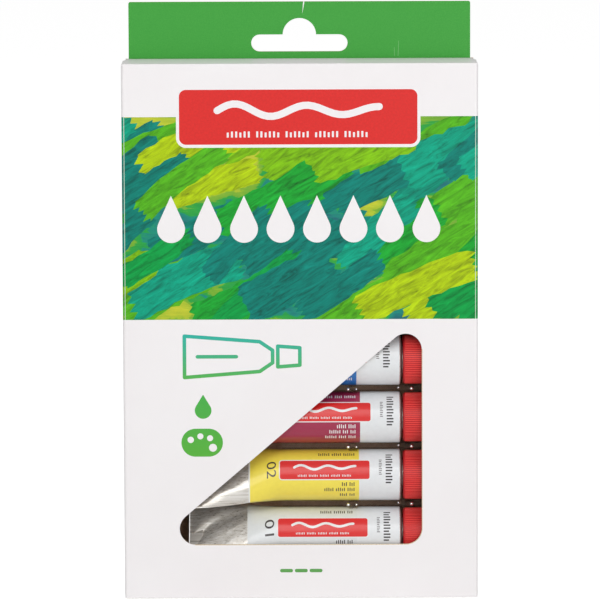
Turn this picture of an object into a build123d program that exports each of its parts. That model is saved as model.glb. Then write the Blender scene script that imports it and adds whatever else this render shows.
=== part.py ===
"""Hanging carton with a window, holding eight gouache tubes in a clear formed tray.

Frame: millimetres, +Z up, the printed front faces -Y, +X is to the viewer's right.
The origin is the middle of the foot of the box.
"""

from build123d import *
import math
import os

os.makedirs("parts", exist_ok=True)

# ---------------------------------------------------------------- tubes
TUBE_COUNT = 8
TUBE_RADIUS = 8.0
TUBE_LENGTH = 80.4
TUBE_WALL = 0.15
PAINT_PLAY = 0.05
FOLD_WIDTH = 4.0
FOLD_THICKNESS = 1.5
FOLD_TILT = 41.0
PRESSED_LENGTH = 24.0
PRESS_SET_BACK = 0.5
PRESS_FACETS = 28
FLAT_HALF_THICKNESS = 0.55
SHOULDER_LENGTH = 1.0
NECK_LENGTH = 8.3
NECK_RADIUS = 4.4

CAP_LENGTH = 14.0
CAP_RADIUS = 7.65
CAP_THREAD_PLAY = 0.06
CAP_SHOULDER_PLAY = 0.1
CAP_RIBS = 24
CAP_RIB_DEPTH = 0.3
CAP_TOP_BEVEL = 0.6
CAP_BORE_BEYOND_NECK = 0.6

# ---------------------------------------------------------------- carton
BOARD = 0.5
FOLD_RADIUS = 0.9

# room around the eight tubes, from which the box takes its size
TUBE_GAP = 2.2
ROOM_LEFT = 20.4
ROOM_RIGHT = 9.2
ROOM_FRONT = 0.6
ROOM_BEHIND = 2.4
ROOM_BELOW = 11.1
ROOM_ABOVE = 12.5

# header above the lid, which the box hangs from
TAB_SIDE_STEP = 1.85
TAB_RISE = 17.7
TAB_CORNER = 0.6
SLOT_WIDTH = 30.0
SLOT_HEIGHT = 5.3
SLOT_ABOVE_LID = 2.15
SLOT_BUMP_RADIUS = 5.2

# three-cornered window: distances from the box's sides and foot to its edges
WINDOW_FROM_LEFT = 17.2
WINDOW_FROM_RIGHT = 17.4
WINDOW_FROM_FOOT = 16.85
WINDOW_RISE = 56.1
WINDOW_CORNER = 5.0

# end closures
LID_SIDE_PLAY = 0.4
LID_CROWN = 0.45
FOOT_LID_BOW = 0.15
LID_INSET = 0.25
CREASE_PLAY = 0.05
TUCK_LENGTH = 7.5
TUCK_SIDE_STEP = 3.0
TUCK_CORNER = 4.0
TUCK_PLAY = 0.08
DUST_LENGTH = 18.0
DUST_FRONT_SETBACK = 3.0
DUST_TAPER = 0.3
DUST_CORNER = 3.0

# ---------------------------------------------------------------- tray
SHEET = 0.35
TRAY_SIDE_PLAY = 0.3
TRAY_END_PLAY = 0.3
TRAY_BACK_PLAY = 0.3
LAND_BEHIND_AXES = 1.0
TRAY_CORNER = 3.0
CHANNEL_PLAY = 0.2
TROUGH_BEYOND_FOLD = 3.4
TROUGH_PAST_ROUND = 0.5
TROUGH_SLOPE = 18.0
TROUGH_END_ROOM = 3.2
TROUGH_CORNER = 2.5
TROUGH_BELOW_CHANNELS = 1.45
CAP_END_ROOM = 2.7
NUB_OVERLAP = 1.2
NUB_DRAFT = 4.0
NUB_BEFORE_SHOULDER = 14.45
NUB_LENGTH = 3.2
NUB_RISE = 3.4
REST_PAST_SHOULDER = 2.7
REST_LENGTH = 2.6
REST_RISE = 2.2

# ---------------------------------------------------------------- worked out
TUBE_PITCH = 2 * TUBE_RADIUS + TUBE_GAP
BOX_WIDTH = ROOM_LEFT + TUBE_LENGTH + ROOM_RIGHT
BOX_DEPTH = 2 * TUBE_RADIUS + ROOM_FRONT + ROOM_BEHIND + 2 * BOARD
BOX_HEIGHT = ROOM_BELOW + 2 * TUBE_RADIUS + TUBE_PITCH * (TUBE_COUNT - 1) + ROOM_ABOVE
HALF_WIDTH = BOX_WIDTH / 2
HALF_DEPTH = BOX_DEPTH / 2
INNER_FRONT = -HALF_DEPTH + BOARD
INNER_BACK = HALF_DEPTH - BOARD
NOSE = BOARD / 2
TAB_WIDTH = BOX_WIDTH - 2 * TAB_SIDE_STEP
TUCK_WIDTH = BOX_WIDTH - 2 * TUCK_SIDE_STEP

TUBE_Y = INNER_FRONT + ROOM_FRONT + TUBE_RADIUS
TUBE_Z = [ROOM_BELOW + TUBE_RADIUS + TUBE_PITCH * i for i in range(TUBE_COUNT)]
FLAT_HALF_WIDTH = math.pi * TUBE_RADIUS / 2
FOLD_END_X = -HALF_WIDTH + ROOM_LEFT
FLAT_X = FOLD_END_X + FOLD_WIDTH
ROUND_START_X = FLAT_X + PRESSED_LENGTH
CAP_END_X = HALF_WIDTH - ROOM_RIGHT
CAP_START_X = CAP_END_X - CAP_LENGTH
NECK_START_X = CAP_START_X - CAP_SHOULDER_PLAY
NECK_END_X = NECK_START_X + NECK_LENGTH
SHOULDER_X = NECK_START_X - SHOULDER_LENGTH
CHANNEL_RADIUS = TUBE_RADIUS + CHANNEL_PLAY

WINDOW_LEFT = -HALF_WIDTH + WINDOW_FROM_LEFT + WINDOW_CORNER
WINDOW_RIGHT = HALF_WIDTH - WINDOW_FROM_RIGHT - WINDOW_CORNER
WINDOW_LOW = WINDOW_FROM_FOOT + WINDOW_CORNER

# hinge lines of the two lids, in (y, z)
TOP_HINGE = (INNER_BACK - BOARD - NOSE - CREASE_PLAY, BOX_HEIGHT - NOSE)
BOTTOM_HINGE = (INNER_BACK - NOSE - CREASE_PLAY, LID_INSET + NOSE)

# the tuck flap hangs this far below its lid, and the dust flap lies this far below it
TUCK_DROP = BOARD + CREASE_PLAY
DUST_DROP = BOARD + 2 * CREASE_PLAY
TOP_DUST_Z = TOP_HINGE[1] - DUST_DROP
BOTTOM_DUST_Z = BOTTOM_HINGE[1] + DUST_DROP
DUST_HINGE_X = HALF_WIDTH - BOARD - NOSE - CREASE_PLAY
SIDE_TOP = TOP_DUST_Z + NOSE
SIDE_BOTTOM = BOTTOM_DUST_Z - NOSE


# ---------------------------------------------------------------- carton
def side_notch_z():
    """Heights and middles of the cuts that leave the side walls short of the lids."""
    top = BOX_HEIGHT - SIDE_TOP
    return [(SIDE_TOP + top / 2, top), (SIDE_BOTTOM / 2, SIDE_BOTTOM)]


def header_outline():
    """The header's outline with its hanging slot, drawn on the current sketch."""
    rise_middle = BOX_HEIGHT + TAB_RISE / 2
    slot_middle = BOX_HEIGHT + SLOT_ABOVE_LID + SLOT_HEIGHT / 2
    with Locations((0, rise_middle)):
        outline = Rectangle(TAB_WIDTH, TAB_RISE)
    fillet(outline.vertices().group_by(Axis.Y)[-1], TAB_CORNER)
    with Locations((0, slot_middle)):
        SlotOverall(SLOT_WIDTH, SLOT_HEIGHT, mode=Mode.SUBTRACT)
    with Locations((0, BOX_HEIGHT + SLOT_ABOVE_LID + SLOT_BUMP_RADIUS)):
        Circle(SLOT_BUMP_RADIUS, mode=Mode.SUBTRACT)


with BuildPart() as carton_sleeve:
    with BuildSketch():
        RectangleRounded(BOX_WIDTH, BOX_DEPTH, FOLD_RADIUS)
        offset(amount=-BOARD, mode=Mode.SUBTRACT)
    extrude(amount=BOX_HEIGHT)
    # the window goes through the front wall alone
    with BuildSketch(Plane.XZ.offset(-INNER_FRONT)):
        Polygon(
            (WINDOW_LEFT, WINDOW_LOW),
            (WINDOW_RIGHT, WINDOW_LOW),
            (WINDOW_RIGHT, WINDOW_LOW + WINDOW_RISE),
            align=None,
        )
        offset(amount=WINDOW_CORNER)
    extrude(amount=2 * BOARD, mode=Mode.SUBTRACT)
    # the side walls end at the creases of their dust flaps
    for middle, height in side_notch_z():
        with Locations((0, 0, middle)):
            Box(BOX_WIDTH, BOX_DEPTH - 2 * BOARD, height, mode=Mode.SUBTRACT)
    # the back wall runs on upwards as the rear ply of the header
    with BuildSketch(Plane.XZ.offset(-INNER_BACK)):
        header_outline()
    extrude(amount=-BOARD)
carton_sleeve.part.label = "carton_sleeve"
export_step(carton_sleeve.part, "parts/carton_sleeve.step")

with BuildPart() as header_front_ply:
    with BuildSketch(Plane.XZ.offset(-INNER_BACK)):
        header_outline()
    extrude(amount=BOARD)
header_front_ply.part.label = "header_front_ply"
export_step(header_front_ply.part, "parts/header_front_ply.step")


# ---------------------------------------------------------------- end closures
def lid(name, hinge, crown, outward):
    """A lid that turns on a rounded edge; outward is +1 for the top and -1 for the foot."""
    front_y = INNER_FRONT + TUCK_PLAY
    middle_y = (hinge[0] + front_y) / 2
    with BuildPart() as panel:
        with BuildSketch(Plane.YZ):
            with BuildLine():
                ThreePointArc(
                    hinge,
                    (middle_y, hinge[1] + outward * crown),
                    (front_y + NOSE, hinge[1]),
                )
            trace(line_width=BOARD)
            with Locations(hinge, (front_y + NOSE, hinge[1])):
                Circle(NOSE)
        extrude(amount=HALF_WIDTH - LID_SIDE_PLAY, both=True)
        # the lid narrows to the header's width at its crease
        with BuildSketch(Plane.XY.offset(hinge[1] - BOX_DEPTH / 2)):
            Polygon(
                (-TAB_WIDTH / 2, hinge[0] + NOSE),
                (-HALF_WIDTH, INNER_FRONT),
                (HALF_WIDTH, INNER_FRONT),
                (TAB_WIDTH / 2, hinge[0] + NOSE),
                align=None,
            )
        extrude(amount=BOX_DEPTH, mode=Mode.INTERSECT)
    panel.part.label = name
    export_step(panel.part, f"parts/{name}.step")


def tuck_reach(hinge):
    """Radius about the lid's hinge that lets the tuck flap swing out past the front wall."""
    return hinge[0] - INNER_FRONT - NOSE - TUCK_PLAY


def tuck_flap(name, hinge, outward):
    """A tuck flap bent to an arc about the lid's hinge, so that it slides in and out."""
    reach = tuck_reach(hinge)
    first = math.degrees(math.asin(TUCK_DROP / reach))
    span = math.degrees(TUCK_LENGTH / reach)
    middle_z = hinge[1] - outward * (TUCK_DROP + TUCK_LENGTH / 2)
    with BuildPart() as flap:
        with BuildSketch(Plane.YZ):
            with BuildLine() as bend:
                CenterArc(hinge, reach, 180 + outward * first, outward * span)
            trace(line_width=BOARD)
            with Locations(bend.edges()[0] @ 0):
                Circle(NOSE)
        extrude(amount=TUCK_WIDTH / 2, both=True)
        # the corners of the free edge are rounded off
        with BuildSketch(Plane.XZ):
            with Locations((0, middle_z)):
                blank = Rectangle(TUCK_WIDTH, TUCK_LENGTH + BOX_DEPTH / 2)
            free_edge = blank.vertices().group_by(Axis.Y)[0 if outward > 0 else -1]
            fillet(free_edge, TUCK_CORNER + BOX_DEPTH / 4)
        extrude(amount=HALF_DEPTH, mode=Mode.INTERSECT)
    flap.part.label = name
    export_step(flap.part, f"parts/{name}.step")


def dust_flap(name, side, hinge_z):
    """A dust flap folded in from a side wall; side is -1 on the left and +1 on the right."""
    front_y = INNER_FRONT + DUST_FRONT_SETBACK
    back_y = TOP_HINGE[0] - 2 * CREASE_PLAY
    inner_x = DUST_HINGE_X - DUST_LENGTH
    with BuildPart() as flap:
        with BuildSketch(Plane.XY.offset(hinge_z - NOSE)):
            blank = Polygon(
                (side * (DUST_HINGE_X + NOSE), front_y),
                (side * inner_x, front_y),
                (side * inner_x, back_y - DUST_TAPER * DUST_LENGTH),
                (side * (DUST_HINGE_X + NOSE), back_y),
                align=None,
            )
            free_edge = blank.vertices().sort_by(Axis.X, reverse=side < 0)[:2]
            fillet(free_edge, DUST_CORNER)
        extrude(amount=BOARD)
        # the edge on the crease is rounded, so that the flap turns beside the side wall
        crease = flap.edges().filter_by(Axis.Y).group_by(SortBy.DISTANCE)[-1]
        fillet(crease, NOSE - CREASE_PLAY / 10)
    flap.part.label = name
    export_step(flap.part, f"parts/{name}.step")


lid("top_lid", TOP_HINGE, LID_CROWN, 1)
tuck_flap("top_tuck_flap", TOP_HINGE, 1)
dust_flap("top_dust_flap_left", -1, TOP_DUST_Z)
dust_flap("top_dust_flap_right", 1, TOP_DUST_Z)
lid("bottom_lid", BOTTOM_HINGE, FOOT_LID_BOW, -1)
tuck_flap("bottom_tuck_flap", BOTTOM_HINGE, -1)
dust_flap("bottom_dust_flap_left", -1, BOTTOM_DUST_Z)
dust_flap("bottom_dust_flap_right", 1, BOTTOM_DUST_Z)


# ---------------------------------------------------------------- tubes
def flattened_plane(x, z, set_back=0):
    """Cross-section plane of a tube, turned so that its pressed end leans back at the top."""
    tilt = math.radians(FOLD_TILT)
    return Plane(
        origin=(x, TUBE_Y + set_back, z),
        x_dir=(0, math.sin(tilt), math.cos(tilt)),
        z_dir=(1, 0, 0),
    )


def section_points(plane, wide, thin):
    """Points around a section whose sides are flat where it is wider than it is thick."""
    points = []
    for step in range(PRESS_FACETS):
        angle = 2 * math.pi * (step + 0.5) / PRESS_FACETS
        along = math.copysign(wide - thin, math.cos(angle)) + thin * math.cos(angle)
        points.append(plane.from_local_coords(Vector(along, thin * math.sin(angle))))
    return points


def tube_form(z, inset, flat_x, shoulder_x):
    """The pressed and round lengths of a tube as one solid, drawn in by inset.

    Sheet metal doesn't stretch: the pressed length is the hull of the round section and of
    a flat one that has the same girth.
    """
    flat_plane = flattened_plane(flat_x, z, PRESS_SET_BACK)
    flat = section_points(flat_plane, FLAT_HALF_WIDTH - inset, FLAT_HALF_THICKNESS - inset)
    round_plane = flattened_plane(ROUND_START_X, z)
    round_end = section_points(round_plane, TUBE_RADIUS - inset, TUBE_RADIUS - inset)
    with BuildPart() as form:
        with BuildSketch(flattened_plane(ROUND_START_X, z)):
            Circle(TUBE_RADIUS - inset)
        extrude(amount=shoulder_x - ROUND_START_X)
        ConvexPolyhedron([*flat, *round_end])
    return form.part


def tube_body(name, z):
    """The aluminium tube: a thin wall, a sealed neck and a rolled fold on the pressed end."""
    outer = tube_form(z, 0, FLAT_X, SHOULDER_X)
    hollow = tube_form(z, TUBE_WALL, FLAT_X + TUBE_WALL, SHOULDER_X - TUBE_WALL)
    with BuildPart() as tube:
        add(outer)
        with BuildSketch(flattened_plane(FOLD_END_X, z, PRESS_SET_BACK)):
            with Locations((0, FLAT_HALF_THICKNESS - FOLD_THICKNESS / 2)):
                Rectangle(2 * FLAT_HALF_WIDTH, FOLD_THICKNESS)
        extrude(amount=FOLD_WIDTH)
        # sloping shoulder, on which the cap closes, and the neck
        for x, radius in ((SHOULDER_X, TUBE_RADIUS), (NECK_START_X, NECK_RADIUS)):
            with BuildSketch(flattened_plane(x, z)):
                Circle(radius)
        loft()
        with BuildSketch(flattened_plane(NECK_START_X, z)):
            Circle(NECK_RADIUS)
        extrude(amount=NECK_END_X - NECK_START_X)
        add(hollow, mode=Mode.SUBTRACT)
    tube.part.label = name
    export_step(tube.part, f"parts/{name}.step")


def tube_paint(name, z):
    """The paint that fills the round length of a tube."""
    end_play = TUBE_WALL + PAINT_PLAY
    with BuildPart() as paint:
        with BuildSketch(flattened_plane(ROUND_START_X, z)):
            Circle(TUBE_RADIUS - TUBE_WALL - PAINT_PLAY)
        extrude(amount=SHOULDER_X - end_play - ROUND_START_X)
    paint.part.label = name
    export_step(paint.part, f"parts/{name}.step")


def tube_cap(name, z):
    """A screw cap with lengthwise ribs, a bevelled top and a bore for the tube's neck."""
    rib_step = 360 / CAP_RIBS
    bore_depth = NECK_END_X + CAP_BORE_BEYOND_NECK - CAP_START_X
    start = Plane(origin=(CAP_START_X, TUBE_Y, z), x_dir=(0, 0, 1), z_dir=(1, 0, 0))
    crest = Vector(CAP_RADIUS, 0)
    trough = Vector(CAP_RADIUS - CAP_RIB_DEPTH, 0)
    rim = []
    for rib in range(CAP_RIBS):
        rim.append(crest.rotate(Axis.Z, rib_step * rib))
        rim.append(trough.rotate(Axis.Z, rib_step * (rib + 0.5)))
    with BuildPart() as cap:
        with BuildSketch(start):
            with BuildLine():
                Polyline(rim, close=True)
            make_face()
        extrude(amount=CAP_LENGTH)
        # the closed end is bevelled, rib by rib
        closed_end = cap.faces().sort_by(Axis.X)[-1]
        chamfer(closed_end.edges(), CAP_TOP_BEVEL)
        with BuildSketch(start):
            Circle(NECK_RADIUS + CAP_THREAD_PLAY)
        extrude(amount=bore_depth, mode=Mode.SUBTRACT)
    cap.part.label = name
    export_step(cap.part, f"parts/{name}.step")


for number, axis_z in enumerate(TUBE_Z, start=1):
    tube_body(f"tube_{number}_body", axis_z)
    tube_paint(f"tube_{number}_paint", axis_z)
    tube_cap(f"tube_{number}_cap", axis_z)


# ---------------------------------------------------------------- tray
def tray_form(inset):
    """The tray's outer form drawn in by inset; the sheet is what lies between two of them."""
    half_x = HALF_WIDTH - BOARD - TRAY_SIDE_PLAY - inset
    low_z = SIDE_BOTTOM + BOARD + TRAY_END_PLAY + inset
    high_z = SIDE_TOP - BOARD - TRAY_END_PLAY - inset
    land_y = TUBE_Y + LAND_BEHIND_AXES + inset
    back_y = INNER_BACK - TRAY_BACK_PLAY + (BOARD if inset else 0)
    channel = CHANNEL_RADIUS + inset
    rib_x = ROUND_START_X + TROUGH_PAST_ROUND + inset
    trough_z = (TUBE_Z[0] - TUBE_RADIUS - TROUGH_END_ROOM - inset,
                TUBE_Z[-1] + TUBE_RADIUS + TROUGH_END_ROOM + inset)
    floor_y = TUBE_Y + channel + TROUGH_BELOW_CHANNELS
    raised = (
        (SHOULDER_X - NUB_BEFORE_SHOULDER, NUB_LENGTH, NUB_RISE),
        (SHOULDER_X + REST_PAST_SHOULDER, REST_LENGTH, REST_RISE),
    )
    nub_width = TUBE_PITCH - 2 * TUBE_RADIUS + NUB_OVERLAP
    slope = math.tan(math.radians(TROUGH_SLOPE)) * (floor_y - land_y)
    with BuildPart() as form:
        # block from the land back to the rim
        with BuildSketch(Plane.XZ.offset(-land_y)):
            with Locations((0, (low_z + high_z) / 2)):
                RectangleRounded(2 * half_x, high_z - low_z, TRAY_CORNER - inset)
        extrude(amount=land_y - back_y)
        # snap nubs and cap rests stand on the ribs between the tubes
        for x, length, rise in raised:
            for z in TUBE_Z[:-1]:
                with BuildSketch(Plane.XZ.offset(-land_y)):
                    with Locations((x, z + TUBE_PITCH / 2)):
                        Rectangle(length - 2 * inset, nub_width)
                extrude(amount=rise, taper=NUB_DRAFT)
        # one channel for each tube, wider where the cap lies
        for z in TUBE_Z:
            with BuildSketch(Plane.YZ.offset(rib_x - 2 * channel)):
                with Locations((TUBE_Y, z)):
                    Circle(channel)
            extrude(amount=CAP_END_X + CAP_END_ROOM + inset - rib_x + 2 * channel, mode=Mode.SUBTRACT)
        # the trough for the pressed ends has sloping ends
        for side_y, spread in ((land_y - BOARD, slope), (floor_y, 0)):
            left = FOLD_END_X - TROUGH_BEYOND_FOLD - inset - spread
            with BuildSketch(Plane.XZ.offset(-side_y)):
                with Locations(((left + rib_x) / 2, sum(trough_z) / 2)):
                    RectangleRounded(rib_x - left, trough_z[1] - trough_z[0] + spread, TROUGH_CORNER)
        loft(mode=Mode.SUBTRACT)
    return form.part


with BuildPart() as tray:
    add(tray_form(0))
    add(tray_form(SHEET), mode=Mode.SUBTRACT)
tray.part.label = "tray"
export_step(tray.part, "parts/tray.step")
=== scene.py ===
"""Dresses the windowed carton of gouache tubes: printed board, pressed tubes, ribbed caps and clear tray.

Lengths are millimetres until a mesh is made; the row frame is +Z up with the printed front on -Y.
A spot is a pair of a place and a normal, both as triples.
"""

import functools
import math
import random

import bpy
from mathutils import Matrix, Quaternion, Vector, geometry, noise

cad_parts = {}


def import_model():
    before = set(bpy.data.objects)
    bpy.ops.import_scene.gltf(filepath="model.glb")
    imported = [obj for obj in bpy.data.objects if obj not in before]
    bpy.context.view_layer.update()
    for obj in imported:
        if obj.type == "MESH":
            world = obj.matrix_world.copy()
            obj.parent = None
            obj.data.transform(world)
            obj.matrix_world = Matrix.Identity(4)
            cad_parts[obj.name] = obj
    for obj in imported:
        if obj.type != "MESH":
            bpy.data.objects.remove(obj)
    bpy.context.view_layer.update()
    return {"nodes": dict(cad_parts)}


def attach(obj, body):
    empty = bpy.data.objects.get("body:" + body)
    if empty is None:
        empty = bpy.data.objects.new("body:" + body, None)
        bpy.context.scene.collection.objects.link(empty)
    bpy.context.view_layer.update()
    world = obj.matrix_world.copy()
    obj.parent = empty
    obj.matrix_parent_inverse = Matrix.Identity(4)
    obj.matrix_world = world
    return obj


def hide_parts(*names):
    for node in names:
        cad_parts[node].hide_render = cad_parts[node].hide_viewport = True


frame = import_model()

MM = 0.001
BOARD = 0.5
FOLD_RADIUS = 0.9
FOLD_STEPS = 5
HALF_WIDTH = 55.0
HALF_DEPTH = 10.0
BOX_HEIGHT = 167.0
SIDE_LOW, SIDE_HIGH = 1.05, 166.4
HEADER_HALF_WIDTH = 53.15
HEADER_TOP = 184.7
HEADER_CORNER = 0.6
SLOT_HALF_WIDTH, SLOT_RADIUS, SLOT_Z = 15.0, 2.65, 171.8
BUMP_RADIUS, BUMP_Z = 5.2, 174.35
WINDOW_CORNERS = ((-32.8, 21.85), (32.6, 21.85), (32.6, 77.95))
WINDOW_RADIUS = 5.0

# prints on the front
ART_LOW, ART_HIGH = 87.55, 150.6
ART_DROPS, ART_DROPS_LEFT, ART_DROPS_RIGHT = 8, -45.5, 44.7
ICON_FOOT, ICON_HEIGHT = 68.9, 14.1
DROP_HIGH, PALETTE_LOW = 64.1, 44.6
BARS_LEFT, BAR_PITCH, BAR_LENGTH = -6.6, 4.6, 4.0
STROKE_SLANT = 32
STROKE_COLOURS = ((0, 124, 110), (0, 140, 114), (0, 158, 126), (0, 152, 66), (24, 160, 48), (82, 174, 24),
                  (124, 186, 8), (172, 200, 6))

TUBE_RADIUS = 8.0
TUBE_Y = -0.9
FIRST_TUBE_Z, TUBE_PITCH, TUBES = 19.1, 18.2, 8
TILT = math.radians(41)
TILTED_UP = Vector((0, math.sin(TILT), math.cos(TILT)))
TILTED_FRONT = Vector((0, -math.cos(TILT), math.sin(TILT)))
PRESS_SET_BACK = 0.5
FOLD_END_X, FLAT_X, ROUND_X = -35.15, -30.6, -6.6
WEDGE_X, WEDGE_HALF, LENS_SHARE = -29.5, 1.5, 0.6
SHOULDER_X, NECK_X, NECK_END_X, NECK_RADIUS = 30.7, 31.7, 40.0, 4.4
QUARTER = math.pi * TUBE_RADIUS / 2
FLAT_HALF = 0.55
LABEL_X = -16.3
PRINT_SHIFTS = (-0.7, -0.05, 0.3, -0.8, 0.4, 0.1, -0.3, 0.2)
PAINTS = {
    "white": (228, 231, 233), "yellow": (248, 228, 84), "crimson": (164, 40, 76), "blue": (0, 116, 196),
    "green": (36, 132, 84), "ochre": (196, 144, 58), "brown": (108, 66, 46), "black": (44, 42, 44)}
PALE_PAINTS = ("white", "yellow", "ochre")

# bosses of the tray between two tubes: x, y and radius
BOSSES = ((14.75, -3.25, 0.55), (17.3, -3.25, 0.34), (30.5, 0.15, 0.42), (34.6, -2.05, 0.64))

CAP_X, CAP_END_X, CAP_RADIUS = 31.8, 45.8, 7.65
CAP_LENGTH = CAP_END_X - CAP_X
CAP_RIBS = 74
CAP_RIB_DEPTH = 0.22
CAP_TURN_STEP = 0.013

# most values of a noise lie between these
NOISE_SPAN = (0.3, 0.7)


# ---- node helpers
def srgb(red, green, blue):
    """Linear colour of an 8 bit screen colour."""
    def channel(value):
        value /= 255
        return value / 12.92 if value <= 0.04045 else ((value + 0.055) / 1.055) ** 2.4
    return (channel(red), channel(green), channel(blue), 1.0)


def grey(value):
    return (value, value, value, 1)


def shade(colour, factor):
    """A linear colour made darker or lighter."""
    return tuple(min(1, factor * c) for c in colour[:3]) + (1,)


def add_node(owner, kind, links=(), sockets=None, **properties):
    """A node in a material, a world or a node group; links are (input, other node, output).

    The kind is a shader node's unless it starts with Geometry or Node.
    """
    tree = getattr(owner, "node_tree", owner)
    node = tree.nodes.new(kind if kind.startswith(("Geometry", "Node")) else f"ShaderNode{kind}")
    for key, value in properties.items():
        setattr(node, key, value)
    for key, value in (sockets or {}).items():
        node.inputs[key].default_value = value
    for socket, other, output in links:
        tree.links.new(other.outputs[output], node.inputs[socket])
    return node


def new_material(name, colour, roughness, **sockets):
    """A material with one Principled shader; extra sockets are given by their names."""
    material = bpy.data.materials.new(name)
    material.use_nodes = True
    inputs = material.node_tree.nodes["Principled BSDF"].inputs
    for socket, value in {"Base Color": colour, "Roughness": roughness, **sockets}.items():
        inputs[socket.replace("_", " ")].default_value = value
    material.diffuse_color = colour
    return material


def shader_link(material, socket, node, output):
    tree = material.node_tree
    tree.links.new(node.outputs[output], tree.nodes["Principled BSDF"].inputs[socket])


def object_coordinates(material, scale=(1, 1, 1), slant=0):
    """Object coordinates scaled and turned in the plane of the front, slant in degrees."""
    place = add_node(material, "TexCoord")
    return add_node(material, "Mapping", [("Vector", place, "Object")],
                    {"Scale": scale, "Rotation": (0, math.radians(slant), 0)})


def noise_node(material, place, scale, detail, rough=0.5, distortion=0.0):
    return add_node(material, "TexNoise", [("Vector", place, "Vector")],
                    {"Scale": scale, "Detail": detail, "Roughness": rough, "Distortion": distortion})


def ramp_node(material, source, output, *stops):
    """A colour ramp with the stops given as (position, colour)."""
    ramp = add_node(material, "ValToRGB", [("Fac", source, output)])
    elements = ramp.color_ramp.elements
    while len(elements) < len(stops):
        elements.new(0.5)
    for element, (position, colour) in zip(elements, stops):
        element.position = position
        element.color = colour
    return ramp


def tint(material, source, output, *stops):
    shader_link(material, "Base Color", ramp_node(material, source, output, *stops), "Color")


def add_bump(material, height, strength, distance):
    bump = add_node(material, "Bump", [("Height", height, "Fac")],
                    {"Strength": strength, "Distance": distance})
    shader_link(material, "Normal", bump, "Normal")


def mottled(name, colour, roughness, size, detail=2, rough=0.5, distortion=0.0, stretch=(1, 1, 1), slant=0,
            drawn_out=None, tones=None, at=NOISE_SPAN, roughs=None, bump=None, **sockets):
    """A material with one noise, by which its colour, roughness and height waver where they are given.

    The tones lie at the noise's values in at, roughs are the least and the most roughness, and drawn_out
    stretches the noise along its slant.
    """
    material = new_material(name, colour, roughness, **sockets)
    place = object_coordinates(material, stretch, slant)
    if drawn_out:
        place = add_node(material, "Mapping", [("Vector", place, "Vector")], {"Scale": drawn_out})
    speckle = noise_node(material, place, size, detail, rough, distortion)
    if tones:
        tint(material, speckle, "Fac", *zip(at, tones))
    if roughs:
        ramp = ramp_node(material, speckle, "Fac", *zip(NOISE_SPAN, map(grey, roughs)))
        shader_link(material, "Roughness", ramp, "Color")
    if bump:
        add_bump(material, speckle, *bump)
    return material


# ---- materials
def board_white():
    """Coated board: bright, slightly sleek, with a faint tooth and cloudiness."""
    material = new_material("board white", srgb(244, 241, 242), 0.36, Specular_IOR_Level=0.5)
    place = object_coordinates(material)
    clouds = noise_node(material, place, 45, 3)
    tint(material, clouds, "Fac", (0.3, srgb(243, 239, 240)), (0.7, srgb(245, 242, 243)))
    add_bump(material, noise_node(material, place, 2600, 2), 0.12, 0.00003)
    return material


def board_green():
    """Header print: solid green with the speckle of a printing screen."""
    return mottled("header green", srgb(60, 160, 56), 0.4, 3200, Specular_IOR_Level=0.35,
                   tones=(srgb(52, 156, 52), srgb(66, 166, 60)), bump=(0.15, 0.00003))


def board_raw():
    """Uncoated grey-brown inside of the board, with fibres."""
    return mottled("board inside", srgb(202, 172, 148), 0.85, 900, 4, rough=0.7, stretch=(1, 1, 2.5),
                   tones=(srgb(190, 156, 130), srgb(216, 188, 166)), bump=(0.3, 0.00005))


def board_edge():
    """Cream die-cut edge of the board."""
    return mottled("board edge", srgb(226, 208, 176), 0.8, 2200, 3,
                   tones=(srgb(206, 184, 150), srgb(238, 224, 198)))


def paint_print():
    """Loose brushwork in greens, teals and yellow, which shows between the strokes laid over it."""
    material = new_material("brushwork print", srgb(60, 160, 80), 0.4, Specular_IOR_Level=0.35)

    def slanted_noise(scale, slant, *settings):
        return noise_node(material, object_coordinates(material, scale, slant), *settings)

    swirl = slanted_noise((1, 1, 1.7), 28, 24, 5, 0.48, 1.6)
    hairs = slanted_noise((150, 150, 1500), 20, 1.0, 4, 0.65, 0.5)
    daubs = slanted_noise((1, 1, 2.2), 35, 130, 4, 0.6, 0.8)
    rough_edge = add_node(material, "Math", [(0, daubs, "Fac")], {1: 0.11, 2: -0.055},
                          operation="MULTIPLY_ADD")
    bristles = add_node(material, "Math", [(0, hairs, "Fac"), (2, rough_edge, "Value")], {1: 0.07},
                        operation="MULTIPLY_ADD")
    mixed = add_node(material, "Math", [(0, swirl, "Fac"), (1, bristles, "Value")], operation="ADD")
    paints = ramp_node(
        material, mixed, "Value",
        (0.0, srgb(8, 92, 104)), (0.40, srgb(8, 108, 116)), (0.455, srgb(0, 134, 122)),
        (0.49, srgb(0, 146, 118)), (0.498, srgb(20, 160, 70)), (0.548, srgb(44, 168, 58)),
        (0.556, srgb(112, 176, 44)), (0.61, srgb(136, 184, 42)), (0.618, srgb(172, 196, 40)),
        (0.70, srgb(204, 208, 46)))
    streaks = ramp_node(material, hairs, "Fac", (0.3, grey(0.82)), (0.65, grey(1.0)))
    both = add_node(material, "Mix", [(6, paints, "Color"), (7, streaks, "Color")], {0: 0.8},
                    data_type="RGBA", blend_type="MULTIPLY")
    shader_link(material, "Base Color", both, 2)
    add_bump(material, hairs, 0.12, 0.00004)
    return material


def stroke_paint(name, colour):
    """One colour of brushed paint, streaked by the bristles along its strokes."""
    tones = [srgb(*(min(255, factor * c + lift) for c in colour))
             for factor, lift in ((0.6, 0), (1, 0), (1.16, 4))]
    return mottled(name, tones[1], 0.4, 1.0, 7, rough=0.66, distortion=1.1, slant=STROKE_SLANT,
                   drawn_out=(110, 110, 620), tones=tones, at=(0.28, 0.5, 0.72), bump=(0.2, 0.00006),
                   Specular_IOR_Level=0.2)


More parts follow.
